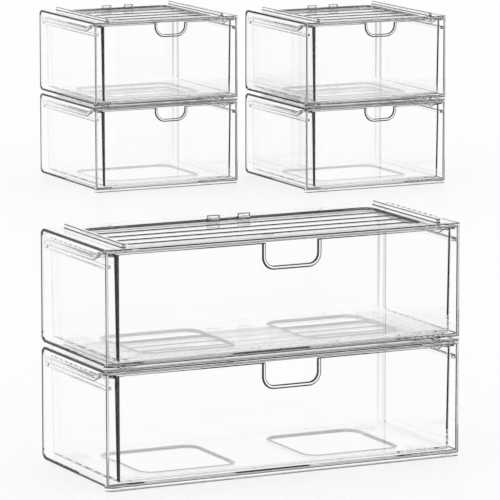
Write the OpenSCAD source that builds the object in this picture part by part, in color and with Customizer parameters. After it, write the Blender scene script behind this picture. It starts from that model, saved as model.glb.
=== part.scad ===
// Clear stackable storage drawers: one stack of two wide units and two stacks of two
// small units. Every unit is a one-piece clear case, open at the front, with a clear
// drawer that hangs by its side rims on the case's ledges, and four round feet.
// Millimetres, +Z up, drawers open towards -Y.
// The origin lies on the floor, at the middle of the ground that the set covers.

/* [Units] */
// Width of a wide unit's case
wide_w = 366; // [300:1:440]
// Depth of a wide unit's case
wide_d = 148; // [130:1:220]
// Width of a small unit's case
small_w = 207; // [170:1:260]
// Depth of a small unit's case
small_d = 182; // [130:1:240]
// Height from a unit's resting plane to its top lip
case_h = 112; // [100:1:140]

/* [Layout] */
// Wide stack's middle to the left small stack's middle, to the right
left_stack_x = 664; // [450:1:800]
// Wide stack's front to the left small stack's front, to the back
left_stack_y = 1666; // [400:1:1800]
// Left small stack to the right small stack, to the right
right_stack_step_x = 247; // [225:1:400]
// Left small stack to the right small stack, to the front
right_stack_step_y = 122; // [0:1:300]

/* [Case] */
// Thickness of the case's side and back walls
case_wall = 3; // [2:0.1:3.4]
// Thickness of the case's floor and top
case_skin = 2.5; // [2:0.1:3]
// Height of the case's floor above the resting plane
foot_h = 4; // [3:0.5:6]
// Radius of the case's long back edges
back_edge_r = 10; // [6:0.5:11]
// Radius of the case's upright back corners
back_corner_r = 3; // [1.5:0.5:3]
// Height of the front lips
lip_h = 3.6; // [3:0.1:4.5]
// Height of the lower front lip above the resting plane
lip_rise = 0.5; // [0.2:0.1:1]
// How far the front lips stand forward of the side walls
lip_reach = 3.5; // [2:0.5:6]
// How far the front lips stand out past the side walls
lip_side = 1; // [0:0.5:3]
// Radius of the front lips' corners, in plan
lip_corner_r = 7; // [4:0.5:10]

/* [Case top] */
// Depth of the sunk panel in the case's top
panel_depth = 2.4; // [1.5:0.1:3]
// Side wall to the sunk panel
panel_side = 32; // [26:1:40]
// Front edge of the side walls to the sunk panel
panel_front = 12; // [8:1:20]
// Back of the case to the sunk panel
panel_back = 26; // [20:1:34]
// Radius of the sunk panel's corners
panel_r = 10; // [4:1:14]
// Number of ridges across the sunk panel
ridge_count = 4; // [2:1:6]
// Radius of the ridges
ridge_r = 0.8; // [0.5:0.1:1]
// Side wall to the outer face of a stacking rib
rib_side = 18.5; // [12:0.5:18.5]
// Thickness of a stacking rib
rib_t = 4; // [2.5:0.5:4.5]
// Radius of a stacking rib's ends, in plan
rib_end_r = 1.2; // [0.6:0.1:1.2]
// Front edge of the side walls to a stacking rib
rib_front = 4; // [3:1:20]
// Back of the case to a stacking rib
rib_back = 14; // [12:1:40]
// Distance between the two stacking lugs at the back
lug_pitch = 32; // [24:1:50]
// Width of a stacking lug
lug_w = 13; // [6:1:18]
// Thickness of a stacking lug
lug_t = 3; // [2:0.5:5]
// Length of the drawer stop, across the case
stop_w = 16; // [8:1:24]
// Thickness of the drawer stop, front to back
stop_t = 5; // [3:0.5:8]
// Front edge of the side walls to the drawer stop
stop_front = 36; // [30:1:50]

/* [Case floor] */
// Side wall to a wide unit's two floor windows
wide_window_side = 50; // [46:1:70]
// Bar between a wide unit's two floor windows
wide_window_bar = 76; // [20:1:100]
// Front edge and back of a wide unit to its floor windows
wide_window_end = 26; // [24:1:36]
// Side wall to a small unit's floor window
small_window_side = 38; // [34:1:56]
// Front edge and back of a small unit to its floor window
small_window_end = 37; // [34:1:48]
// Radius of a floor window's corners
window_r = 13; // [6:1:20]
// Height of the rim round a floor window
window_rim_h = 0.7; // [0.4:0.1:0.8]
// Width of the rim round a floor window
window_rim_w = 2; // [1.5:0.5:3]
// Radius of a round foot
foot_r = 10; // [6:0.5:10]
// Side wall to the middle of a foot
foot_side = 33; // [33:1:45]
// Front edge of the side walls to the middle of the front feet
foot_front = 22; // [16:1:30]
// Back of the case to the middle of the back feet
foot_back = 20; // [19:1:30]
// Rounding of a foot's lower edge
foot_round = 1.2; // [0.5:0.1:2]

/* [Drawer ledges] */
// Width of a ledge, from the side wall inwards
ledge_w = 3.6; // [3:0.1:4]
// Thickness of a ledge
ledge_t = 3.2; // [2:0.1:4]
// Case's top to a ledge's upper face
ledge_drop = 14.8; // [13.6:0.1:30]
// Front edge of the side walls to the ledge
ledge_front = 2; // [1:0.5:6]

/* [Drawer] */
// Thickness of the drawer's walls
drawer_wall = 2.4; // [1.8:0.1:3]
// Thickness of the drawer's floor
drawer_floor = 2.5; // [1.8:0.1:3]
// Case's outer side to the drawer's outer side, at the top
drawer_side = 9; // [8.5:0.1:12]
// How much narrower the drawer is at its floor, on each side
drawer_taper = 1.6; // [1:0.1:4]
// Radius of the drawer's upright corners
drawer_corner_r = 3.5; // [3:0.5:8]
// Radius of the drawer's lower edges
drawer_edge_r = 2.5; // [2:0.5:6]
// How far the drawer's front stands forward of the side walls
drawer_reach = 2; // [0:0.5:3]
// Gap between the drawer and the case's back and top lip
drawer_gap = 1; // [0.6:0.1:2]
// Running clearance between the drawer and the parts of the case that it slides past
rim_gap = 0.3; // [0.2:0.05:0.6]
// Thickness of the drawer's rim and of its hanging edge
rim_t = 2; // [1.6:0.1:2.4]
// Height from the ledge to the top of the side rims
rim_h = 5.6; // [4.5:0.1:6.6]
// Front of the drawer to where the rims begin to drop
rim_step_y = 21; // [12:1:24]
// Length of the step where the rims drop
rim_step_l = 15; // [10:1:20]

/* [Finger notches] */
// Width of a wide drawer's finger notch
wide_notch_w = 54; // [40:1:70]
// Depth of a wide drawer's finger notch
wide_notch_h = 22; // [16:1:30]
// Corner radius of a wide drawer's finger notch
wide_notch_r = 9; // [5:0.5:12]
// Width of a small drawer's finger notch
small_notch_w = 40; // [30:1:54]
// Depth of a small drawer's finger notch
small_notch_h = 15; // [12:1:24]
// Corner radius of a small drawer's finger notch
small_notch_r = 11; // [5:0.5:12]
// Middle of the drawer to the middle of the finger notch, to the right
notch_x = 5; // [0:0.5:10]
// Width of the bead round a finger notch
notch_bead_w = 3; // [2:0.5:4]
// How far the bead stands out of the drawer's front
notch_bead_t = 1.2; // [0.6:0.1:1.4]

/* [Hidden] */

$fn = 48;
hull_fn = 32;
over = 1;      // how far a cutting shape runs past what it cuts
bite = 0.6;    // how far a raised form is rooted in the wall that carries it
rest_gap = 0.02; // clearance between a unit and the one that it rests on

// Heights in one unit, from its resting plane
floor_z = foot_h + case_skin;
drawer_z = floor_z + window_rim_h + rim_gap;
ledge_z = case_h - ledge_drop;
rim_z = ledge_z + rim_h;
front_z = case_h - lip_h - drawer_gap;
stack_z = case_h + foot_h;
unit_pitch = case_h + rest_gap; // resting plane to resting plane

// Ground that the set covers, measured from the wide stack's front middle
right_stack_x = left_stack_x + right_stack_step_x;
right_stack_y = left_stack_y - right_stack_step_y;
set_x0 = min(-wide_w, 2 * left_stack_x - small_w) / 2 - lip_side;
set_x1 = max(right_stack_x + small_w / 2, wide_w / 2) + lip_side;
set_y0 = -max(lip_reach, drawer_reach + notch_bead_t);
set_y1 = max(left_stack_y, right_stack_y) + small_d;
origin_x = (set_x0 + set_x1) / 2;
origin_y = (set_y0 + set_y1) / 2;

// A YZ outline drawn in XY, stood upright and run across X
module across(width) {
    translate([-width / 2, 0, 0])
        rotate([90, 0, 90])
            linear_extrude(width) children();
}

// Rectangle in plan with round corners, from its low corner
module round_plate(size, r) {
    translate([r, 0]) square([size.x - 2 * r, size.y]);
    translate([0, r]) square([size.x, size.y - 2 * r]);
    for (x = [r, size.x - r], y = [r, size.y - r])
        translate([x, y]) circle(r);
}

// Side view of the case, round at its two long back edges, drawn as y and z.
// inset moves every edge but the front one inwards.
module case_side(d, inset, skin) {
    r = back_edge_r - inset;
    front = -lip_reach * sign(inset);
    back = d - inset;
    low = foot_h + skin;
    high = case_h - skin;
    translate([front, low]) square([back - r - front, high - low]);
    translate([back - r - over, low + r]) square([r + over, high - low - 2 * r]);
    translate([back - r, low + r]) circle(r);
    translate([back - r, high - r]) circle(r);
}

// The space that the sunk panel takes out of the top: grow widens it in plan, and
// low and high are its floor and its ceiling below the case's top
module panel_space(w, d, grow, low, high) {
    size = [w - 2 * panel_side + 2 * grow, d - panel_front - panel_back + 2 * grow];
    translate([-size.x / 2, panel_front - grow, case_h - low])
        linear_extrude(low - high) round_plate(size, panel_r + grow);
}

// A front lip: a bar with round corners in plan, wider than the case
module front_lip(w, low, height, depth) {
    width = w + 2 * lip_side;
    intersection() {
        translate([-width / 2, -lip_reach, low])
            linear_extrude(height)
                round_plate([width, lip_reach + depth + 2 * lip_corner_r], lip_corner_r);
        translate([-w, -lip_reach - over, low])
            cube([2 * w, lip_reach + over + depth, height]);
    }
}

// One of the two ribs that carry the unit above
module stacking_rib(w, d) {
    low = case_h - bite;
    translate([-w / 2 + rib_side, rib_front, low])
        linear_extrude(stack_z - low)
            round_plate([rib_t, d - rib_front - rib_back], rib_end_r);
}

// Ridges across the sunk panel, evenly spaced between its front and its back
module panel_ridges(w, d) {
    length = w - 2 * panel_side + 2 * bite;
    span = d - panel_front - panel_back;
    for (i = [1 : ridge_count]) {
        y = panel_front + i * span / (ridge_count + 1);
        translate([-length / 2, y, case_h - panel_depth])
            rotate([0, 90, 0]) cylinder(r = ridge_r, h = length);
    }
}

// The two lugs at the back of the sunk panel, just clear of the unit above
module stacking_lugs(d) {
    y = d - panel_back - lug_t + bite;
    low = case_h - panel_depth - bite;
    for (side = [-1, 1])
        translate([side * lug_pitch / 2 - lug_w / 2, y, low])
            cube([lug_w, lug_t, stack_z - rim_gap - low]);
}

// The stop under the sunk panel, round at its front, that catches the drawer's back
module drawer_stop(d) {
    high = case_h - panel_depth - bite;
    low = rim_z + rim_gap;
    translate([0, stop_front, low]) intersection() {
        translate([0, stop_w / 2 - stop_t / 2, 0]) cylinder(r = stop_w / 2, h = high - low);
        translate([-stop_w / 2, -stop_t / 2, 0]) cube([stop_w, stop_t, high - low]);
    }
}

// Outlines of a wide unit's two floor windows and of a small unit's one, in plan
module wide_windows(grow) {
    size = [
        (wide_w - wide_window_bar) / 2 - wide_window_side + 2 * grow,
        wide_d - 2 * wide_window_end + 2 * grow
    ];
    for (side = [0, 1]) mirror([side, 0])
        translate([wide_window_bar / 2 - grow, wide_window_end - grow])
            round_plate(size, window_r + grow);
}
module small_window(grow) {
    size = [small_w - 2 * small_window_side, small_d - 2 * small_window_end];
    translate([-size.x / 2 - grow, small_window_end - grow])
        round_plate([size.x + 2 * grow, size.y + 2 * grow], window_r + grow);
}

module case_ledges(w, d) {
    back = d - case_wall - back_edge_r;
    for (side = [-1, 1])
        translate([side * (w / 2 - case_wall - ledge_w / 2), 0, ledge_z - ledge_t])
            linear_extrude(ledge_t) {
                translate([side * bite / 2 - ledge_w / 2 - bite / 2, ledge_front])
                    square([ledge_w + bite, back - ledge_front]);
                translate([side * (ledge_w / 2 - ledge_w), back]) intersection() {
                    translate([side * ledge_w, 0]) circle(ledge_w);
                    translate([-ledge_w, 0]) square(2 * ledge_w);
                }
            }
}

module case_hollow(w, d) {
    difference() {
        across(w - 2 * case_wall) case_side(d, case_wall, case_skin);
        panel_space(w, d, case_skin, panel_depth + case_skin, 0);
    }
}

// The one-piece case. Its children are the floor windows: first their own outline,
// then the outline of the rims that stand round them.
module unit_case(w, d) {
    color("aliceblue", 0.45) union() {
        difference() {
            union() {
                intersection() {
                    across(w) case_side(d, 0, 0);
                    translate([-w / 2, -back_corner_r, 0])
                        linear_extrude(2 * case_h) round_plate([w, d + back_corner_r], back_corner_r);
                }
                front_lip(w, lip_rise, foot_h + bite - lip_rise, case_wall);
            }
            case_hollow(w, d);
            panel_space(w, d, 0, panel_depth, -over);
            linear_extrude(floor_z + over) children(0);
        }
        translate([0, 0, floor_z - bite]) linear_extrude(window_rim_h + bite) difference() {
            children(1);
            children(0);
        }
        front_lip(w, case_h - lip_h, lip_h, case_wall);
        for (side = [0, 1]) mirror([side, 0, 0]) stacking_rib(w, d);
        panel_ridges(w, d);
        stacking_lugs(d);
        drawer_stop(d);
        case_ledges(w, d);
    }
}

module unit_feet(w, d) {
    color("white", 0.6)
        for (side = [-1, 1], y = [foot_front, d - foot_back])
            translate([side * (w / 2 - foot_side), y, 0]) rotate_extrude() {
                square([foot_r - foot_round, foot_h]);
                translate([0, foot_round]) square([foot_r, foot_h - foot_round]);
                translate([foot_r - foot_round, foot_round]) circle(foot_round);
            }
}

// Tapered tub with round corners and round lower edges. It is a lofted solid: a ring
// of balls round its floor and a thin plate at its mouth.
module tub(top, low, high, taper, y0, y1, corner, edge) {
    hull() {
        for (x = [-1, 1], y = [y0 + taper / 2 + edge, y1 - taper - edge])
            translate([x * (top / 2 - taper - edge), y, low + edge]) sphere(edge, $fn = hull_fn);
        translate([-top / 2, y0, high - over])
            linear_extrude(over) round_plate([top, y1 - y0], corner, $fn = hull_fn);
    }
}

// Side view of everything above the side rims, drawn as y and z: high over the rims,
// and stepping up to the front with a smooth step
module rim_sky(y0, low_z, high_z, back) {
    step = [for (i = [0 : 12]) let (t = i / 12)
        [y0 + rim_step_y + rim_step_l * t, high_z - (high_z - low_z) * (1 - cos(180 * t)) / 2]];
    polygon(concat(
        [[y0 - over, high_z]], step,
        [[back + over, low_z], [back + over, 2 * case_h], [y0 - over, 2 * case_h]]
    ));
}

// Side view of a rim: a band as high as thick, whose upper edge follows the step
module rim_band(y0, thick, back) {
    difference() {
        rim_sky(y0, rim_z - thick, front_z - thick, back);
        rim_sky(y0, rim_z, front_z, back + over);
        translate([back, 0]) square(3 * case_h);
    }
}

module drawer_rim(w, y0, y1) {
    outer = w / 2 - case_wall - 2 * rim_gap;
    inner = w / 2 - drawer_side - bite;
    skirt_h = rim_h - rim_gap;
    for (side = [-1, 1]) {
        translate([side * (outer + inner) / 2, 0, 0]) across(outer - inner) difference() {
            rim_band(y0, rim_t, y1);
            translate([y0 - 2 * over, 0]) square([drawer_corner_r + 2 * over, 2 * case_h]);
        }
        translate([side * (outer - rim_t / 2), 0, 0]) across(rim_t) difference() {
            rim_band(y0, skirt_h, y1);
            translate([y0 - 2 * over, 0]) square([rim_step_y + 2 * over, 2 * case_h]);
        }
    }
    translate([-outer, y1 - rim_t, rim_z - rim_t]) cube([2 * outer, rim_t, rim_t]);
}

// The U of a finger notch, from its lower edge up past the drawer's top
module notch_shape(width, height, r, grow) {
    low = front_z - height - grow;
    translate([notch_x - width / 2 - grow, low])
        round_plate([width + 2 * grow, height + 3 * r], r + grow);
}

module unit_drawer(w, d, notch_w, notch_h, notch_r) {
    y0 = -drawer_reach;
    y1 = d - case_wall - 2 * drawer_gap;
    top = w - 2 * drawer_side;
    color("white", 0.5) difference() {
        union() {
            difference() {
                tub(top, drawer_z, front_z, drawer_taper, y0, y1, drawer_corner_r, drawer_edge_r);
                across(w) rim_sky(y0, rim_z, front_z, y1);
            }
            drawer_rim(w, y0, y1);
            translate([0, y0 + bite, 0]) rotate([90, 0, 0])
                linear_extrude(bite + notch_bead_t) intersection() {
                    notch_shape(notch_w, notch_h, notch_r, notch_bead_w);
                    translate([-w / 2, 0]) square([w, front_z]);
                }
            translate([-stop_w / 2, y1 - drawer_wall, rim_z - rim_t])
                cube([stop_w, drawer_wall, rim_t + drawer_gap + rim_gap]);
        }
        tub(
            top - 2 * drawer_wall, drawer_z + drawer_floor, front_z + 2 * over, drawer_taper,
            y0 + drawer_wall, y1 - drawer_wall, drawer_corner_r - drawer_wall / 2,
            drawer_edge_r - drawer_wall / 2
        );
        translate([0, y0 + drawer_wall + 3 * over, 0]) rotate([90, 0, 0])
            linear_extrude(drawer_wall + notch_bead_t + 5 * over)
                notch_shape(notch_w, notch_h, notch_r, 0);
    }
}

// Puts one unit's piece in its stack: level 0 stands on the floor
module in_wide_stack(level) {
    translate([-origin_x, -origin_y, level * unit_pitch]) children();
}
module in_left_stack(level) {
    translate([left_stack_x - origin_x, left_stack_y - origin_y, level * unit_pitch]) children();
}
module in_right_stack(level) {
    translate([right_stack_x - origin_x, right_stack_y - origin_y, level * unit_pitch]) children();
}

module wide_case() {
    unit_case(wide_w, wide_d) {
        wide_windows(0);
        wide_windows(window_rim_w);
    }
}
module wide_drawer() { unit_drawer(wide_w, wide_d, wide_notch_w, wide_notch_h, wide_notch_r); }
module wide_feet() { unit_feet(wide_w, wide_d); }
module small_case() {
    unit_case(small_w, small_d) {
        small_window(0);
        small_window(window_rim_w);
    }
}
module small_drawer() { unit_drawer(small_w, small_d, small_notch_w, small_notch_h, small_notch_r); }
module small_feet() { unit_feet(small_w, small_d); }

in_wide_stack(0) wide_case();  // wide_lower_case
in_wide_stack(0) wide_drawer();  // wide_lower_drawer
in_wide_stack(0) wide_feet();  // wide_lower_feet
in_wide_stack(1) wide_case();  // wide_upper_case
in_wide_stack(1) wide_drawer();  // wide_upper_drawer
in_wide_stack(1) wide_feet();  // wide_upper_feet
in_left_stack(0) small_case();  // left_lower_case
in_left_stack(0) small_drawer();  // left_lower_drawer
in_left_stack(0) small_feet();  // left_lower_feet
in_left_stack(1) small_case();  // left_upper_case
in_left_stack(1) small_drawer();  // left_upper_drawer
in_left_stack(1) small_feet();  // left_upper_feet
in_right_stack(0) small_case();  // right_lower_case
in_right_stack(0) small_drawer();  // right_lower_drawer
in_right_stack(0) small_feet();  // right_lower_feet
in_right_stack(1) small_case();  // right_upper_case
in_right_stack(1) small_drawer();  // right_upper_drawer
in_right_stack(1) small_feet();  // right_upper_feet
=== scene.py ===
"""Looks of a set of clear stackable drawer units: moulded cases, drawers and round feet."""

import logging
import math
from dataclasses import dataclass, field
from enum import Enum
from functools import lru_cache
from typing import Callable, Sequence

import bmesh
import bpy
import numpy as np
from mathutils import Matrix, Vector


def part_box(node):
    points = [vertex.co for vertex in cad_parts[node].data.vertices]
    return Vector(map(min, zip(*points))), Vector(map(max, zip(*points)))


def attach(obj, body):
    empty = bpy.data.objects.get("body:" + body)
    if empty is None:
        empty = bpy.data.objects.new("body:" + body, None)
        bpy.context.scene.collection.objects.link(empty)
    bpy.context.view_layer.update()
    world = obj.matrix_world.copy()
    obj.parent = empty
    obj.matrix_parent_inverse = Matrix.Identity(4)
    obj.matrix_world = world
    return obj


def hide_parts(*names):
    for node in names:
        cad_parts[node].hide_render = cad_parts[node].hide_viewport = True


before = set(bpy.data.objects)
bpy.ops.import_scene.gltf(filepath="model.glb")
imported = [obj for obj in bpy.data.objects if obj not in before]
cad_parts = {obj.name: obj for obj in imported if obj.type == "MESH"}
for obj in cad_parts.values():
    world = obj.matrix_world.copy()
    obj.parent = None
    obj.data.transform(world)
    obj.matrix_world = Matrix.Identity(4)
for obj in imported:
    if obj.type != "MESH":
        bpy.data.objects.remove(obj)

log = logging.getLogger("drawer_set")

Colour = tuple[float, float, float]

MM = 0.001
IN_PLANE = 0.05  # millimetres within which a point counts as lying in a plane
SQUARE = 0.999  # share of a normal along an axis from which a face is square to that axis
ALONG = 0.3  # share of a normal along an axis up to which a face runs along that axis
PAINTED_EDGE_SHADE = "painted_edge_shade"  # the attribute that holds how much painted shade a point's edges get
EDGE_SEEN = "edge_seen"  # the attribute that holds from where that painted shade shows


class Stack(Enum):
    """The three free-standing stacks of the set."""

    WIDE = "wide"
    LEFT = "left"
    RIGHT = "right"


class Level(Enum):
    """A unit's place in its stack."""

    LOWER = "lower"
    UPPER = "upper"


class Moulding(Enum):
    """The moulded pieces of one unit."""

    CASE = "case"
    DRAWER = "drawer"
    FEET = "feet"


class Zone(Enum):
    """Parts of a clear moulding's surface; the value is the material's index.

    Attributes:
        FACE: clear polished plastic.
        EDGE: an edge, or a face that gets the same painted dark shade as an edge.
        POST: the milky front end of a case's side wall.
        WALL: the upright wall round a window in a case's floor, with painted grey shade.
    """

    FACE = 0
    EDGE = 1
    POST = 2
    WALL = 3


# ---------------------------------------------------------------- where edges get painted shade


@dataclass(frozen=True)
class Place:
    """Where points lie in their own unit, in millimetres.

    Attributes:
        side: distance in from the nearer outer side of the case.
        front: distance back from the front edge of the case's side walls.
        back: distance forward from the back of the case.
        height: height above the unit's resting plane.
    """

    side: np.ndarray
    front: np.ndarray
    back: np.ndarray
    height: np.ndarray


class Fill(Enum):
    """Which faces of a region get the same painted shade as its edges.

    Attributes:
        NONE: no face.
        ROUNDS: the narrow faces of its round corners.
        WALLS: the faces that run from front to back.
        UPRIGHT: no face, but the upright ones get painted grey shade.
    """

    NONE = "none"
    ROUNDS = "rounds"
    WALLS = "walls"
    UPRIGHT = "upright"


class Seen(Enum):
    """From where the painted shade on a region's edges shows; the value is what its points store.

    Attributes:
        EVERYWHERE: from all sides.
        OUTSIDE: from outside the plastic only.
        STRAIGHT_ON: from outside the plastic, and only where it is seen nearly square on.
    """

    EVERYWHERE = 0.0
    OUTSIDE = 1.0
    STRAIGHT_ON = -1.0


@dataclass(frozen=True)
class EdgeLook:
    """How much painted shade the edges in one region of a moulding get.

    Attributes:
        region: the region's name.
        where: picks the region's points from their places.
        depth: how dark the painted shade on the edges is, from 0 for clear to 1 for black.
        fill: which of the region's faces get the same painted shade as its edges.
        seen: from where the painted shade shows.
    """

    region: str
    where: Callable[[Place], np.ndarray]
    depth: float
    fill: Fill = Fill.NONE
    seen: Seen = Seen.EVERYWHERE


DARK = 0.97  # depth of painted shade that makes an edge look nearly black

# Painted shade on the edges of the cases and drawers, region by region.
# The regions' bounds are in millimetres, and a later look goes over an earlier one.
CASE_EDGES = (
    EdgeLook("all", lambda p: p.height > -1, 0.4),
    EdgeLook("outer_sides", lambda p: (abs(p.side) < 0.5) & (p.front > 2), DARK),
    EdgeLook(
        "back_corners", lambda p: (p.side < 3.4) & (p.back < 3.4), DARK, Fill.ROUNDS, Seen.OUTSIDE
    ),
    EdgeLook("inner_back", lambda p: (p.side > 2.9) & (p.back < 14), 0.2),
    EdgeLook("front_posts", lambda p: (p.side < 3.5) & (p.front < 2), 0.3),
    EdgeLook("lips", lambda p: (p.front < -0.5) & (p.height > 108), DARK),
    EdgeLook("lower_lip", lambda p: (p.front < -0.5) & (p.height < 8), DARK),
    EdgeLook(
        "floor_windows",
        lambda p: (p.side > 20) & (p.front > 14) & (p.height < 9),
        DARK,
        Fill.UPRIGHT,
        Seen.OUTSIDE,
    ),
    EdgeLook("sunk_panel", lambda p: (p.side > 26) & (p.front > 8) & (p.height > 106), 0.85),
    EdgeLook("ribs", lambda p: (p.side > 16) & (p.side < 24) & (p.height > 111), DARK),
)
DRAWER_EDGES = (
    EdgeLook("all", lambda p: p.height > -1, 0.35),
    EdgeLook("back", lambda p: p.back < 12, 0.2),
    EdgeLook("rims", lambda p: (p.side < 11.6) & (p.height > 96) & (p.front > 1.4), DARK),
    EdgeLook("front_top", lambda p: (p.front < 2) & (p.height > 104), 0.5),
    EdgeLook("back_corners", lambda p: (p.side < 14.6) & (p.back < 9), 0.05, Fill.ROUNDS),
    EdgeLook(
        "front_corners",
        lambda p: (p.side < 14.6) & (p.front < 1.8),
        DARK,
        Fill.ROUNDS,
        Seen.STRAIGHT_ON,
    ),
    EdgeLook(
        "finger_notch",
        lambda p: (p.side > 40) & (p.front < 2) & (p.height > 80),
        DARK,
        Fill.WALLS,
        Seen.OUTSIDE,
    ),
)

# Steps that are thinner than a rounded edge. On a drawer they lie under its back rim, and
# on a case where the lips' round corners pass the front corners of the side walls.
BACK_RIM_STEPS = (100.8, 102.8)
LIP_STEPS = (108.4, 4.6)
HAIR_STEPS: dict[Moulding, Callable[[Place], np.ndarray]] = {
    Moulding.DRAWER: lambda p: near(p.height, BACK_RIM_STEPS, 0.3) & (p.back < 8),
    Moulding.CASE: lambda p: near(p.height, LIP_STEPS, 0.1)
    & (p.side > -IN_PLANE) & (p.side < 3.2) & (p.front > -IN_PLANE) & (p.front < 3.2),
}


def near(values: np.ndarray, marks: Sequence[float], slack: float) -> np.ndarray:
    """Finds the values that lie within a slack of one of some marks.

    Args:
        values: the values.
        marks: the marks.
        slack: how far a value may lie from a mark.

    Returns:
        True for each value that lies near a mark.
    """
    return np.min([abs(values - mark) for mark in marks], axis=0) < slack


# ---------------------------------------------------------------- shader nodes


def feed(
    tree: bpy.types.NodeTree,
    value: float | tuple[float, ...] | bpy.types.NodeSocket,
    socket: bpy.types.NodeSocket,
) -> None:
    """Gives an input its value.

    Args:
        tree: the nodes.
        value: a number, a colour, or an output to link to.
        socket: the input.
    """
    if isinstance(value, bpy.types.NodeSocket):
        tree.links.new(value, socket)
    else:
        socket.default_value = value


def maths(
    tree: bpy.types.NodeTree, operation: str, *values: float | bpy.types.NodeSocket
) -> bpy.types.NodeSocket:
    """Adds a Math node.

    Args:
        tree: the nodes.
        operation: what the node does.
        *values: a number or an output for each input.

    Returns:
        The node's value.
    """
    node = tree.nodes.new("ShaderNodeMath")
    node.operation = operation
    for socket, value in zip(node.inputs, values):
        feed(tree, value, socket)
    return node.outputs["Value"]


def mix_colours(
    tree: bpy.types.NodeTree,
    share: bpy.types.NodeSocket,
    first: Colour | bpy.types.NodeSocket,
    second: Colour | bpy.types.NodeSocket,
) -> bpy.types.NodeSocket:
    """Adds a colour Mix node.

    Args:
        tree: the nodes.
        share: how much of the second colour there is.
        first: a colour or an output.
        second: a colour or an output.

    Returns:
        The mixed colour.
    """
    node = tree.nodes.new("ShaderNodeMix")
    node.data_type = "RGBA"
    tree.links.new(share, node.inputs["Factor"])
    for key, colour in (("A", first), ("B", second)):
        opaque = (*colour, 1.0) if isinstance(colour, tuple) else colour
        feed(tree, opaque, node.inputs[key])
    return node.outputs["Result"]


def noise(
    tree: bpy.types.NodeTree,
    vector: bpy.types.NodeSocket,
    scale: float | bpy.types.NodeSocket,
    detail: float,
) -> bpy.types.NodeSocket:
    """Adds a Noise Texture node.

    Args:
        tree: the nodes.
        vector: where the noise is read.
        scale: how fine it is.
        detail: how many finer layers it has.

    Returns:
        The noise, from 0 to 1.
    """
    node = tree.nodes.new("ShaderNodeTexNoise")
    for key, value in (("Vector", vector), ("Scale", scale), ("Detail", detail)):
        feed(tree, value, node.inputs[key])
    return node.outputs["Fac"]


def attribute(tree: bpy.types.NodeTree, name: str) -> bpy.types.NodeSocket:
    """Adds an Attribute node.

    Args:
        tree: the nodes.
        name: the attribute's name.

    Returns:
        Its value.
    """
    node = tree.nodes.new("ShaderNodeAttribute")
    node.attribute_name = name
    return node.outputs["Fac"]


def new_group(
    name: str, inputs: dict[str, tuple[str, float]], outputs: dict[str, str]
) -> bpy.types.NodeTree:
    """Makes an empty shader node group with named sockets.

    Args:
        name: the group's name.
        inputs: socket name to (socket type, default value).
        outputs: socket name to socket type.

    Returns:
        The node tree, with its Group Input and Group Output nodes in place.
    """
    tree = bpy.data.node_groups.new(name, "ShaderNodeTree")
    for key, (kind, value) in inputs.items():
        tree.interface.new_socket(key, in_out="INPUT", socket_type=kind).default_value = value
    for key, kind in outputs.items():
        tree.interface.new_socket(key, in_out="OUTPUT", socket_type=kind)
    tree.nodes.new("NodeGroupInput").name = "in"
    tree.nodes.new("NodeGroupOutput").name = "out"
    return tree


WAVE_DETAIL = 1.0
CLOUD_SCALE, CLOUD_DETAIL = 6.0, 4.0
SCUFF_SCALE, SCUFF_DETAIL = 900.0, 3.0
SCUFF_STRETCH = (0.04, 1.0, 1.0)  # scuffs run from side to side
SCUFF_FROM, SCUFF_FULL = 0.62, 0.8  # noise at which a scuff begins and is whole
SCUFF_ROUGHNESS = 0.01


def moulding_marks() -> bpy.types.NodeTree:
    """Makes the faint waves, haze and handling marks of a polished clear moulding.

    Returns:
        A node group whose outputs change over the surface: Shade (0 to 1, cloudiness
        of the colour), Roughness and Height.
    """
    tree = new_group(
        "moulding_marks",
        {
            "Roughness": ("NodeSocketFloat", 0.01),
            "Haze": ("NodeSocketFloat", 0.02),
            "Wave Size": ("NodeSocketFloat", 14.0),
        },
        {"Shade": "NodeSocketFloat", "Roughness": "NodeSocketFloat", "Height": "NodeSocketFloat"},
    )
    nodes, links = tree.nodes, tree.links
    given, out = nodes["in"].outputs, nodes["out"].inputs
    place = nodes.new("ShaderNodeTexCoord").outputs["Object"]
    cloud = noise(tree, place, CLOUD_SCALE, CLOUD_DETAIL)
    stretch = nodes.new("ShaderNodeMapping")
    stretch.inputs["Scale"].default_value = SCUFF_STRETCH
    links.new(place, stretch.inputs["Vector"])
    worn = nodes.new("ShaderNodeMapRange")
    worn.inputs["From Min"].default_value = SCUFF_FROM
    worn.inputs["From Max"].default_value = SCUFF_FULL
    scuff = noise(tree, stretch.outputs["Vector"], SCUFF_SCALE, SCUFF_DETAIL)
    links.new(scuff, worn.inputs["Value"])
    haze = maths(tree, "MULTIPLY", cloud, given["Haze"])
    spots = maths(tree, "MULTIPLY_ADD", worn.outputs["Result"], SCUFF_ROUGHNESS, haze)
    links.new(cloud, out["Shade"])
    links.new(maths(tree, "ADD", spots, given["Roughness"]), out["Roughness"])
    links.new(noise(tree, place, given["Wave Size"], WAVE_DETAIL), out["Height"])
    return tree


# ---------------------------------------------------------------- finishes


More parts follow.
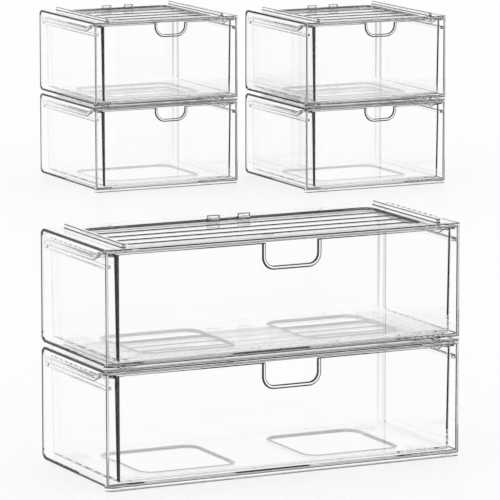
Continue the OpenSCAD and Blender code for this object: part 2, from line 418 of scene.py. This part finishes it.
@dataclass(frozen=True)
class ClearPlastic:
    """Crystal clear moulded plastic, with grey to black shade painted on its edges where it would
    be seen edge-on.

    Attributes:
        name: the material's name.
        clear: its colour where it is clearest.
        hazed: its colour where it is cloudiest.
        dark: its painted shade colour where edges are painted darkest, or None if it has no
            painted edge shade.
        clearness: how much light it lets through.
        roughness: how rough it is all over.
        haze: how much rougher it is where it is cloudiest.
        ior: its index of refraction.
        wave: how strong the waves of its surface are.
        wave_height: how high they are, in metres.
        body_colour: the colour of light that has gone a long way in it.
        body_density: how fast it takes light away.
        facing_fade: facing ratios between which the painted shade of an edge seen straight on
            fades out.
    """

    name: str
    clear: Colour = (1.0, 1.0, 1.0)
    hazed: Colour = (0.985, 0.988, 0.992)
    dark: Colour | None = None
    clearness: float = 1.0
    roughness: float = 0.0
    haze: float = 0.012
    ior: float = 1.3
    wave: float = 0.02
    wave_height: float = 0.001
    body_colour: Colour = (0.72, 0.75, 0.78)
    body_density: float = 1.0
    facing_fade: tuple[float, float] = (0.28, 0.42)

    def material(self, groups: dict[str, bpy.types.NodeTree]) -> bpy.types.Material:
        """Builds the node material.

        Args:
            groups: the shared node groups by name.

        Returns:
            A transmissive Principled material with a faintly absorbing body.
        """
        made = bpy.data.materials.new(self.name)
        made.use_nodes = True
        tree = made.node_tree
        nodes, links = tree.nodes, tree.links
        shader = nodes["Principled BSDF"]
        shader.inputs["IOR"].default_value = self.ior
        shader.inputs["Transmission Weight"].default_value = self.clearness
        marks = nodes.new("ShaderNodeGroup")
        marks.node_tree = groups["moulding_marks"]
        marks.inputs["Roughness"].default_value = self.roughness
        marks.inputs["Haze"].default_value = self.haze
        tint = mix_colours(tree, marks.outputs["Shade"], self.clear, self.hazed)
        # The base colour carries the painted edge shade.
        links.new(self.shaded(tree, tint), shader.inputs["Base Color"])
        links.new(marks.outputs["Roughness"], shader.inputs["Roughness"])
        bump = nodes.new("ShaderNodeBump")
        bump.inputs["Strength"].default_value = self.wave
        bump.inputs["Distance"].default_value = self.wave_height
        links.new(marks.outputs["Height"], bump.inputs["Height"])
        links.new(bump.outputs["Normal"], shader.inputs["Normal"])
        body = nodes.new("ShaderNodeVolumeAbsorption")
        body.inputs["Color"].default_value = (*self.body_colour, 1.0)
        body.inputs["Density"].default_value = self.body_density
        links.new(body.outputs["Volume"], nodes["Material Output"].inputs["Volume"])
        return made

    def shaded(
        self, tree: bpy.types.NodeTree, colour: bpy.types.NodeSocket
    ) -> bpy.types.NodeSocket:
        """Paints edge shade into a colour by the surface's stored depth of painted shade, if the
        finish has a dark colour.

        Args:
            tree: the material's nodes.
            colour: the colour of the clear surface.

        Returns:
            The colour to use.
        """
        if self.dark is None:
            return colour
        nodes, links = tree.nodes, tree.links
        depth, seen = attribute(tree, PAINTED_EDGE_SHADE), attribute(tree, EDGE_SEEN)
        inside = nodes.new("ShaderNodeNewGeometry").outputs["Backfacing"]
        outside = maths(tree, "SUBTRACT", 1.0, inside)
        near_square, turned_away = self.facing_fade
        square_on = nodes.new("ShaderNodeMapRange")
        for key, value in (
            ("From Min", near_square), ("From Max", turned_away), ("To Min", 1.0), ("To Max", 0.0)
        ):
            square_on.inputs[key].default_value = value
        links.new(
            nodes.new("ShaderNodeLayerWeight").outputs["Facing"], square_on.inputs["Value"]
        )
        straight = maths(tree, "MULTIPLY", outside, square_on.outputs["Result"])
        kept: float | bpy.types.NodeSocket = 1.0
        for rule, value in ((Seen.OUTSIDE, outside), (Seen.STRAIGHT_ON, straight)):
            choice = nodes.new("ShaderNodeMix")
            feed(tree, maths(tree, "MULTIPLY", rule.value, seen), choice.inputs["Factor"])
            feed(tree, kept, choice.inputs["A"])
            feed(tree, value, choice.inputs["B"])
            kept = choice.outputs["Result"]
        return mix_colours(tree, maths(tree, "MULTIPLY", depth, kept), colour, self.dark)


@dataclass(frozen=True)
class WhiteBoard:
    """Smooth pale board that looks white and keeps a faint shadow.

    Attributes:
        colour: the board's own colour.
        roughness: how rough its gloss is.
        gloss: its specular level.
        seen_white: share of plain white where the board is looked at.
        through_white: share of plain white where it is seen in or through clear plastic.
    """

    colour: Colour = (0.9, 0.9, 0.9)
    roughness: float = 0.25
    gloss: float = 0.3
    seen_white: float = 0.8
    through_white: float = 0.95

    def material(self) -> bpy.types.Material:
        """Builds the board's material.

        Returns:
            A diffuse material, mixed with plain white by the kind of ray that sees it.
        """
        made = bpy.data.materials.new("pale_board")
        made.use_nodes = True
        tree = made.node_tree
        nodes, links = tree.nodes, tree.links
        shader = nodes["Principled BSDF"]
        shader.inputs["Base Color"].default_value = (*self.colour, 1.0)
        shader.inputs["Roughness"].default_value = self.roughness
        shader.inputs["Specular IOR Level"].default_value = self.gloss
        path = nodes.new("ShaderNodeLightPath").outputs
        through = maths(tree, "MAXIMUM", path["Is Glossy Ray"], path["Is Transmission Ray"])
        seen = maths(tree, "MULTIPLY", path["Is Camera Ray"], self.seen_white)
        share = maths(tree, "MULTIPLY_ADD", through, self.through_white, seen)
        white = nodes.new("ShaderNodeEmission")
        mix = nodes.new("ShaderNodeMixShader")
        parts = (share, shader.outputs["BSDF"], white.outputs["Emission"])
        for socket, part in zip(mix.inputs, parts):
            links.new(part, socket)
        links.new(mix.outputs["Shader"], nodes["Material Output"].inputs["Surface"])
        return made


# ---------------------------------------------------------------- studio


@dataclass
class Studio:
    """Camera, white surroundings and the board that the set stands on.

    Attributes:
        eye: where the camera stands.
        azimuth: how far it is turned to the right of +Y, in degrees.
        pitch: how far it looks down, in degrees.
        lens: its focal length, in millimetres.
        sensor: its sensor's width, in millimetres.
        clip: its nearest and farthest sight, in metres.
        board_half: half the board's width, in metres.
        board: the board's finish.
        light_paths: how many surfaces light may pass or meet.
    """

    eye: tuple[float, float, float] = (-2.2670, -4.5946, 0.8873)
    azimuth: float = 26.29
    pitch: float = 9.34
    lens: float = 325.2146
    sensor: float = 36.0
    clip: tuple[float, float] = (0.1, 400.0)
    board_half: float = 60.0
    board: WhiteBoard = field(default_factory=WhiteBoard)
    light_paths: int = 20

    def build(self) -> None:
        """Makes the camera, the world and the board."""
        self.camera()
        self.world()
        self.floor()
        cycles = bpy.context.scene.cycles
        cycles.max_bounces = self.light_paths
        cycles.transmission_bounces = self.light_paths
        cycles.glossy_bounces = self.light_paths
        bpy.context.scene.view_settings.view_transform = "Standard"
        log.info("studio: camera, world and board")

    def camera(self) -> None:
        """Places the camera by its azimuth and pitch.

        Its axes are the columns of its matrix: the one to its right, the one up, and the one
        that points back at it from the set.
        """
        turn, tilt = math.radians(self.azimuth), math.radians(self.pitch)
        level = math.cos(tilt)
        back = Vector((-math.sin(turn) * level, -math.cos(turn) * level, math.sin(tilt)))
        right = Vector((math.cos(turn), -math.sin(turn), 0.0))
        stand = Matrix((right, back.cross(right), back)).transposed().to_4x4()
        stand.translation = Vector(self.eye)
        data = bpy.data.cameras.new("camera")
        data.sensor_width, data.lens = self.sensor, self.lens
        data.clip_start, data.clip_end = self.clip
        made = bpy.data.objects.new("camera", data)
        made.matrix_world = stand
        bpy.context.scene.collection.objects.link(made)
        bpy.context.scene.camera = made

    def world(self) -> None:
        """Makes even white light from all sides."""
        made = bpy.data.worlds.new("white_room")
        made.use_nodes = True
        sky = made.node_tree.nodes["Background"]
        sky.inputs["Color"].default_value = (1.0, 1.0, 1.0, 1.0)
        sky.inputs["Strength"].default_value = 1.0
        bpy.context.scene.world = made

    def floor(self) -> None:
        """Makes the board, one flat square under the set."""
        half = self.board_half
        corners = [(-half, -half, 0), (half, -half, 0), (half, half, 0), (-half, half, 0)]
        mesh = bpy.data.meshes.new("board")
        mesh.from_pydata(corners, [], [(0, 1, 2, 3)])
        mesh.materials.append(self.board.material())
        made = bpy.data.objects.new("board", mesh)
        bpy.context.scene.collection.objects.link(made)


# ---------------------------------------------------------------- the units


@dataclass(frozen=True)
class Unit:
    """One drawer unit's place in the set, read from its case in the frame.

    Attributes:
        stack: the stack it is in.
        level: its place in the stack.
        lip_reach: how far the case's lips stand out in front of its side walls.
        lip_side: how far they stand out past its sides.
        lip_rise: height of the lower lip, its lowest point, above the unit's resting plane.
        rib_middle: from the case's side to the middle of a rib on its top.
        window_middle: from a wide case's middle to the middle of a window in its floor.
        ledge_faces: heights of the undersides and tops of the drawer's ledges.
    """

    stack: Stack
    level: Level
    lip_reach: float = 3.5 * MM
    lip_side: float = 1.0 * MM
    lip_rise: float = 0.5 * MM
    rib_middle: float = 20.5 * MM
    window_middle: float = 85.5 * MM
    ledge_faces: tuple[float, float] = (94.0 * MM, 97.2 * MM)

    def node(self, moulding: Moulding) -> str:
        """Names the frame node of a moulding.

        Args:
            moulding: one of the unit's mouldings.

        Returns:
            The node's name.
        """
        return f"{self.stack.value}_{self.level.value}_{moulding.value}"

    def body(self, moulding: Moulding) -> str:
        """Names the body that a moulding moves with.

        Args:
            moulding: one of the unit's mouldings.

        Returns:
            The body's name. Feet ride with their case, and the lower cases are one body.
        """
        if moulding is Moulding.DRAWER:
            return self.node(moulding)
        return "lower_cases" if self.level is Level.LOWER else f"{self.stack.value}_upper_case"

    @lru_cache
    def box(self) -> tuple[Vector, Vector]:
        """Reads the case's box.

        Returns:
            Its lowest and highest corners.
        """
        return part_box(self.node(Moulding.CASE))

    def span(self) -> tuple[float, float]:
        """Finds how far the unit reaches from side to side.

        Returns:
            The middle of its case and half its width, without the lips.
        """
        low, high = self.box()
        return (low.x + high.x) / 2, (high.x - low.x) / 2 - self.lip_side

    def cuts(self) -> list[tuple[Vector, Vector]]:
        """Lays planes through the ribs, floor windows and sunk panel, and on the ledges' faces.

        Returns:
            A point on each plane and the plane's direction.
        """
        low, _ = self.box()
        middle, half = self.span()
        offsets = [0.0, half - self.rib_middle, self.rib_middle - half]
        if self.stack is Stack.WIDE:
            offsets += [-self.window_middle, self.window_middle]
        upright = [(Vector((middle + x, low.y, low.z)), Vector((1, 0, 0))) for x in offsets]
        floor = low.z - self.lip_rise
        level = [(Vector((middle, low.y, floor + z)), Vector((0, 0, 1))) for z in self.ledge_faces]
        return upright + level

    def place(self, points: np.ndarray) -> Place:
        """Finds where points lie in this unit.

        Args:
            points: one row of x, y, z in metres for each point.

        Returns:
            Their places.
        """
        low, high = self.box()
        middle, half = self.span()
        return Place(
            side=(half - np.abs(points[:, 0] - middle)) / MM,
            front=(points[:, 1] - low.y - self.lip_reach) / MM,
            back=(high.y - points[:, 1]) / MM,
            height=(points[:, 2] - low.z + self.lip_rise) / MM,
        )


@dataclass
class ClearShell:
    """A case or drawer: the frame's solid with its sharp edges broken and given painted shade.

    Attributes:
        unit: the unit it is part of.
        moulding: which of the unit's mouldings it is.
        finishes: its materials, in the order of Zone.
        looks: how its edges look.
        outline: width of the band of painted dark shade round its outer side faces, or 0 for none.
        edge_width: how wide a broken edge is.
        corner_width: how wide a face of a round corner may be.
        dark_enough: depth of painted shade from which an outline's face is part of the band.
        whole_side: area in square metres from which a face is a side and no part of the band.
        sharp: angle from which an edge is sharp.
        flat: angle up to which faces are joined.
        merge: distance up to which points are merged.
        cut_slack: distance from a cut up to which a point counts as lying in it.
    """

    unit: Unit
    moulding: Moulding
    finishes: Sequence[bpy.types.Material]
    looks: Sequence[EdgeLook]
    outline: float = 0.0
    edge_width: float = 0.7 * MM
    corner_width: float = 8 * MM
    dark_enough: float = 0.9
    whole_side: float = 1e-3
    sharp: float = math.radians(32)
    flat: float = math.radians(0.3)
    merge: float = 2e-6
    cut_slack: float = 1e-6

    def build(self) -> bpy.types.Object:
        """Makes the shell, dresses it and puts it on its body.

        Returns:
            The finished object.
        """
        node = self.unit.node(self.moulding)
        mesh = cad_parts[node].data.copy()
        mesh.name = f"{node}_shell"
        mesh.materials.clear()
        for finish in self.finishes:
            mesh.materials.append(finish)
        work = bmesh.new()
        work.from_mesh(mesh)
        bmesh.ops.remove_doubles(work, verts=work.verts, dist=self.merge)
        self.flatten(work)
        self.frame_sides(work)
        self.mark_edges(work)
        self.shade(work)
        work.to_mesh(mesh)
        work.free()
        # The frame's own normals no longer fit the joined faces.
        for layer in [a for a in mesh.attributes if a.name == "custom_normal"]:
            mesh.attributes.remove(layer)
        mesh.set_sharp_from_angle(angle=self.sharp)
        made = bpy.data.objects.new(f"{node}_clear", mesh)
        bpy.context.scene.collection.objects.link(made)
        self.break_edges(made)
        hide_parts(node)
        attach(made, self.unit.body(self.moulding))
        log.info("%s: %d faces", made.name, len(mesh.polygons))
        return made

    def flatten(self, work: bmesh.types.BMesh) -> None:
        """Joins the triangles of each flat face, after cuts that leave no face with a hole in it.

        Args:
            work: the shell's triangles, merged.
        """
        for point, normal in self.unit.cuts():
            cut = bmesh.ops.bisect_plane(
                work,
                geom=work.verts[:] + work.edges[:] + work.faces[:],
                dist=self.cut_slack,
                plane_co=point,
                plane_no=normal,
            )
            for item in cut["geom_cut"]:
                if isinstance(item, bmesh.types.BMEdge):
                    item.seam = True
        bmesh.ops.dissolve_limit(
            work, angle_limit=self.flat, verts=work.verts, edges=work.edges, delimit={"SEAM"}
        )

    def frame_sides(self, work: bmesh.types.BMesh) -> None:
        """Cuts a narrow band, for painted dark shade, along the outline of the moulding's two
        outer side faces.

        Args:
            work: the shell's faces, merged and flat.
        """
        if not self.outline:
            return
        inner = [
            edge for edge in work.edges
            if len(edge.link_faces) == 2 and all(self.is_outer_side(f) for f in edge.link_faces)
        ]
        bmesh.ops.dissolve_edges(work, edges=inner, use_verts=True)
        sides = [face for face in work.faces if self.is_outer_side(face)]
        bmesh.ops.inset_individual(work, faces=sides, thickness=self.outline, use_even_offset=True)

    def mark_edges(self, work: bmesh.types.BMesh) -> None:
        """Marks the edges to round: the sharp ones, but for those of hair-thin steps.

        Args:
            work: the shell's faces, merged and flat.
        """
        work.verts.index_update()
        work.normal_update()
        place = self.unit.place(np.array([v.co for v in work.verts]))
        thin = HAIR_STEPS[self.moulding](place)
        weight = work.edges.layers.float.new("bevel_weight_edge")
        for edge in work.edges:
            sharp = len(edge.link_faces) == 2 and edge.calc_face_angle() > self.sharp
            edge[weight] = float(sharp and not all(thin[v.index] for v in edge.verts))

    def is_outer_side(self, face: bmesh.types.BMFace) -> bool:
        """Whether a face lies in the plane of one of the unit's two outer sides.

        Args:
            face: a face of the shell.

        Returns:
            True if it does.
        """
        if abs(face.normal.x) < SQUARE:
            return False
        place = self.unit.place(np.array([v.co for v in face.verts]))
        return bool(np.all(np.abs(place.side) < IN_PLANE))

    def shade(self, work: bmesh.types.BMesh) -> None:
        """Stores how much painted shade each edge gets and from where it shows, and picks each
        face's material.

        Args:
            work: the shell's faces, merged and flat.
        """
        work.verts.index_update()
        place = self.unit.place(np.array([v.co for v in work.verts]))
        depth, seen = np.zeros(len(work.verts)), np.zeros(len(work.verts))
        fills = np.full(len(work.verts), Fill.NONE, dtype=object)
        for look in self.looks:
            inside = look.where(place)
            depth[inside], fills[inside], seen[inside] = look.depth, look.fill, look.seen.value
        depths = work.verts.layers.float.new(PAINTED_EDGE_SHADE)
        rules = work.verts.layers.float.new(EDGE_SEEN)
        for vert in work.verts:
            vert[depths] = 1.0 - (1.0 - depth[vert.index]) ** 2
            vert[rules] = seen[vert.index]
        for face in work.faces:
            face.smooth = True
            face.material_index = self.zone(face, place, depth, fills).value

    def zone(
        self, face: bmesh.types.BMFace, place: Place, depth: np.ndarray, fills: np.ndarray
    ) -> Zone:
        """Finds which part of the surface a face is.

        Args:
            face: a face of the shell.
            place: where the shell's points lie in the unit.
            depth: how much painted shade the edges at each point get.
            fills: each point's Fill.

        Returns:
            The face's zone.
        """
        kinds = {fills[v.index] for v in face.verts}
        across = max(v.co.x for v in face.verts) - min(v.co.x for v in face.verts)
        narrow = across < self.corner_width and max(abs(n) for n in face.normal) < SQUARE
        if (
            (kinds == {Fill.ROUNDS} and narrow)
            or (kinds == {Fill.WALLS} and abs(face.normal.y) < ALONG)
            or self.in_outline(face, place, depth)
        ):
            return Zone.EDGE
        if kinds == {Fill.UPRIGHT} and abs(face.normal.z) < ALONG:
            return Zone.WALL
        return Zone.POST if self.is_post(face, place) else Zone.FACE

    def is_post(self, face: bmesh.types.BMFace, place: Place) -> bool:
        """Whether a face is the front end of a case's side wall.

        Args:
            face: a face of the shell.
            place: where the shell's points lie in the unit.

        Returns:
            True if it lies in the plane of the case's front and meets an outer side.
        """
        at_front = all(abs(place.front[v.index]) < IN_PLANE for v in face.verts)
        at_side = min(place.side[v.index] for v in face.verts) < IN_PLANE
        return self.moulding is Moulding.CASE and at_front and at_side

    def in_outline(self, face: bmesh.types.BMFace, place: Place, depth: np.ndarray) -> bool:
        """Whether a face is part of the band of painted dark shade round an outer side face.

        Args:
            face: a face of the shell.
            place: where the shell's points lie in the unit.
            depth: how much painted shade the edges at each point get.

        Returns:
            True if it is.
        """
        if not self.outline or face.calc_area() > self.whole_side:
            return False
        return all(
            abs(place.side[v.index]) < IN_PLANE and depth[v.index] > self.dark_enough
            for v in face.verts
        )

    def break_edges(self, made: bpy.types.Object) -> None:
        """Rounds the marked edges and keeps the large faces flat to the light.

        Args:
            made: the shell's object.
        """
        broken = made.modifiers.new("broken_edges", "BEVEL")
        broken.width = self.edge_width
        broken.segments = 2
        broken.limit_method = "WEIGHT"
        broken.use_clamp_overlap = False
        # The rounded strips take the material with painted edge shade.
        broken.material = Zone.EDGE.value
        flat = made.modifiers.new("flat_faces", "WEIGHTED_NORMAL")
        flat.mode = "FACE_AREA"
        flat.weight = 100
        flat.keep_sharp = True


@dataclass
class RoundFeet:
    """The four round feet under one unit.

    Attributes:
        unit: the unit they are part of.
        finish: their material.
        around: how many faces go round a foot.
        gap: the gap left between a foot and the floor above it.
        ring: width of the ring that a foot stands on.
        ring_slope: how much wider the ring is where it meets the hollow.
        hollow: how deep the underside is hollowed.
        lower_round: radius of the rounded lower edge.
        upper_round: radius of the small break at the top.
        shade_down: how far below the top the painted shade of the upper edge ends on the side.
        shade_in: how far in from the side it ends on the top.
        inner_rings: shares of the radius at which the underside and the top have a ring more.
        pole: the share of the radius that the closing faces in the middle take.
        dark: how dark the painted shade on the rims is.
    """

    unit: Unit
    finish: bpy.types.Material
    around: int = 48
    gap: float = 0.03 * MM
    ring: float = 1.8 * MM
    ring_slope: float = 0.2 * MM
    hollow: float = 0.35 * MM
    lower_round: float = 1.2 * MM
    upper_round: float = 0.25 * MM
    shade_down: float = 0.8 * MM
    shade_in: float = 0.9 * MM
    inner_rings: tuple[float, float] = (0.6, 0.5)
    pole: float = 0.02
    dark: float = 0.9

    def build(self) -> bpy.types.Object:
        """Makes the four feet and puts them on their body.

        Returns:
            The finished object.
        """
        node = self.unit.node(Moulding.FEET)
        low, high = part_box(node)
        radius, height = self.foot_size(node)
        points, faces, depths, count = [], [], [], 0
        for x in (low.x + radius, high.x - radius):
            for y in (low.y + radius, high.y - radius):
                ring, quads, depth = self.foot(Vector((x, y, low.z)), radius, height - self.gap)
                faces.append(quads + count)
                points.append(ring)
                depths.append(depth)
                count += len(ring)
        mesh = mesh_from_quads(f"{node}_discs", np.concatenate(points), np.concatenate(faces))
        store = mesh.attributes.new(PAINTED_EDGE_SHADE, "FLOAT", "POINT")
        store.data.foreach_set("value", np.concatenate(depths))
        mesh.materials.append(self.finish)
        made = bpy.data.objects.new(f"{node}_clear", mesh)
        bpy.context.scene.collection.objects.link(made)
        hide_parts(node)
        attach(made, self.unit.body(Moulding.FEET))
        log.info("%s: %d faces", made.name, len(mesh.polygons))
        return made

    def foot_size(self, node: str) -> tuple[float, float]:
        """Reads one foot's size.

        Args:
            node: the frame's node that holds the four feet.

        Returns:
            The foot's radius and height.
        """
        low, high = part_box(node)
        co = np.array([v.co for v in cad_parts[node].data.vertices])
        near_left = co[:, 0] < (low.x + high.x) / 2
        near_front = co[:, 1] < (low.y + high.y) / 2
        one = co[near_left & near_front]
        return float(np.ptp(one[:, 0]) / 2), high.z - low.z

    def foot(
        self, base: Vector, radius: float, height: float
    ) -> tuple[np.ndarray, np.ndarray, np.ndarray]:
        """Makes one foot as a surface of revolution.

        The profile runs from the middle of the underside out to the rounded lower edge, up
        the side, over a small break at the top and back to the middle. A point is
        (r(s) cos t, r(s) sin t, z(s)), with s along the profile and t round the foot.

        Args:
            base: the middle of the underside.
            radius: the foot's radius.
            height: the foot's height.

        Returns:
            The points, quads as rows of four indices, and how much painted shade each point
            gets: the two rims of the underside and the upper edge get painted dark shade, the rest
                is clear.
        """
        r, z, depth = self.profile(radius, height)
        t = np.linspace(0, 2 * np.pi, self.around, endpoint=False)
        x, y = r[:, None] * np.cos(t), r[:, None] * np.sin(t)
        grid = np.stack([x, y, z[:, None] + 0 * t], axis=-1)
        rows, cols = grid.shape[:2]
        i, j = np.meshgrid(np.arange(rows - 1), np.arange(cols), indexing="ij")
        here, ahead = j, (j + 1) % cols
        below, above = i * cols, (i + 1) * cols
        quads = np.stack([below + here, below + ahead, above + ahead, above + here], axis=-1)
        return grid.reshape(-1, 3) + np.array(base), quads.reshape(-1, 4), np.repeat(depth, cols)

    def profile(self, radius: float, height: float) -> tuple[np.ndarray, np.ndarray, np.ndarray]:
        """Draws a foot's profile, from the middle of its underside to the middle of its top.

        Args:
            radius: the foot's radius.
            height: the foot's height.

        Returns:
            Each point's distance from the foot's axis, its height, and how much painted shade it
            gets.
        """
        turn = np.linspace(-np.pi / 2, 0, 7)
        rise = np.linspace(0, np.pi / 2, 4)
        lower, upper = self.lower_round, self.upper_round
        pole, (under, over) = self.pole * radius, self.inner_rings
        # Each stretch has its points' distances from the axis, their heights and their depths of
        # painted shade.
        hollow = (
            [pole, under * radius, radius - self.ring - self.ring_slope],
            [self.hollow] * 3,
            [0] * 3,
        )
        inner_rim = ([radius - self.ring], [0.0], [self.dark])
        lower_edge = (
            radius - lower + lower * np.cos(turn),
            lower + lower * np.sin(turn),
            [self.dark, 0.8, 0.5, 0.2, 0, 0, 0],
        )
        side = ([radius], [height - self.shade_down], [0])
        upper_edge = (
            radius - upper + upper * np.cos(rise),
            height - upper + upper * np.sin(rise),
            [self.dark] * len(rise),
        )
        top = ([radius - self.shade_in, over * radius, pole], [height] * 3, [0] * 3)
        stretches = (hollow, inner_rim, lower_edge, side, upper_edge, top)
        r, z, depth = (np.concatenate(part) for part in zip(*stretches))
        return r, z, depth


def mesh_from_quads(
    name: str, points: np.ndarray, quads: np.ndarray, sharp: float = math.radians(50)
) -> bpy.types.Mesh:
    """Makes a closed, smooth mesh from arrays.

    Args:
        name: the mesh's name.
        points: one row of x, y, z for each point.
        quads: one row of four point indices for each face.
        sharp: angle from which an edge stays sharp.

    Returns:
        The mesh, with its open ends closed and its faces pointing outwards.
    """
    mesh = bpy.data.meshes.new(name)
    mesh.from_pydata(points.tolist(), [], quads.tolist())
    work = bmesh.new()
    work.from_mesh(mesh)
    bmesh.ops.holes_fill(work, edges=[e for e in work.edges if e.is_boundary])
    bmesh.ops.recalc_face_normals(work, faces=work.faces)
    for face in work.faces:
        face.smooth = True
    work.to_mesh(mesh)
    work.free()
    mesh.set_sharp_from_angle(angle=sharp)
    return mesh


@dataclass
class DrawerUnit:
    """One unit: its case, the drawer in it and the feet under it.

    Attributes:
        unit: its place in the set.
        finishes: each moulding's materials.
        outline: width of the band of painted dark shade round the case's outer side faces.
        drawer_edges: how wide a drawer's broken edges are.
    """

    unit: Unit
    finishes: dict[Moulding, Sequence[bpy.types.Material]]
    outline: float = 2.4 * MM
    drawer_edges: float = 0.8 * MM

    def build(self) -> None:
        """Builds the unit's three mouldings."""
        case, drawer = self.finishes[Moulding.CASE], self.finishes[Moulding.DRAWER]
        ClearShell(self.unit, Moulding.CASE, case, CASE_EDGES, outline=self.outline).build()
        ClearShell(
            self.unit, Moulding.DRAWER, drawer, DRAWER_EDGES, edge_width=self.drawer_edges
        ).build()
        RoundFeet(self.unit, self.finishes[Moulding.FEET][0]).build()


def make_finishes() -> dict[Moulding, Sequence[bpy.types.Material]]:
    """Makes the materials of the set.

    Returns:
        Each moulding's materials, in the order of Zone.
    """
    groups = {"moulding_marks": moulding_marks()}
    # Near black painted shade for edges; the windows' walls get a grey painted shade.
    black = (0.002, 0.002, 0.002)
    kinds = {
        Moulding.CASE: (
            ClearPlastic("case_face"),
            ClearPlastic("case_edge_painted_shade", dark=black),
            ClearPlastic(
                "case_post",
                clear=(0.93, 0.94, 0.955),
                hazed=(0.9, 0.91, 0.93),
                roughness=0.3,
                clearness=0.4,
            ),
            ClearPlastic("case_wall", dark=(0.4, 0.405, 0.41)),
        ),
        Moulding.DRAWER: (ClearPlastic("drawer_face"), ClearPlastic("drawer_edge_painted_shade", dark=black)),
        Moulding.FEET: (ClearPlastic("feet_clear", dark=black, roughness=0.05),),
    }
    return {
        moulding: [finish.material(groups) for finish in row] for moulding, row in kinds.items()
    }


def main() -> None:
    """Builds the studio and every unit."""
    logging.basicConfig(level=logging.INFO, format="%(message)s")
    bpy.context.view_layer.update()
    Studio().build()
    finishes = make_finishes()
    for stack in Stack:
        for level in Level:
            DrawerUnit(Unit(stack, level), finishes).build()


if __name__ == "__main__":
    main()
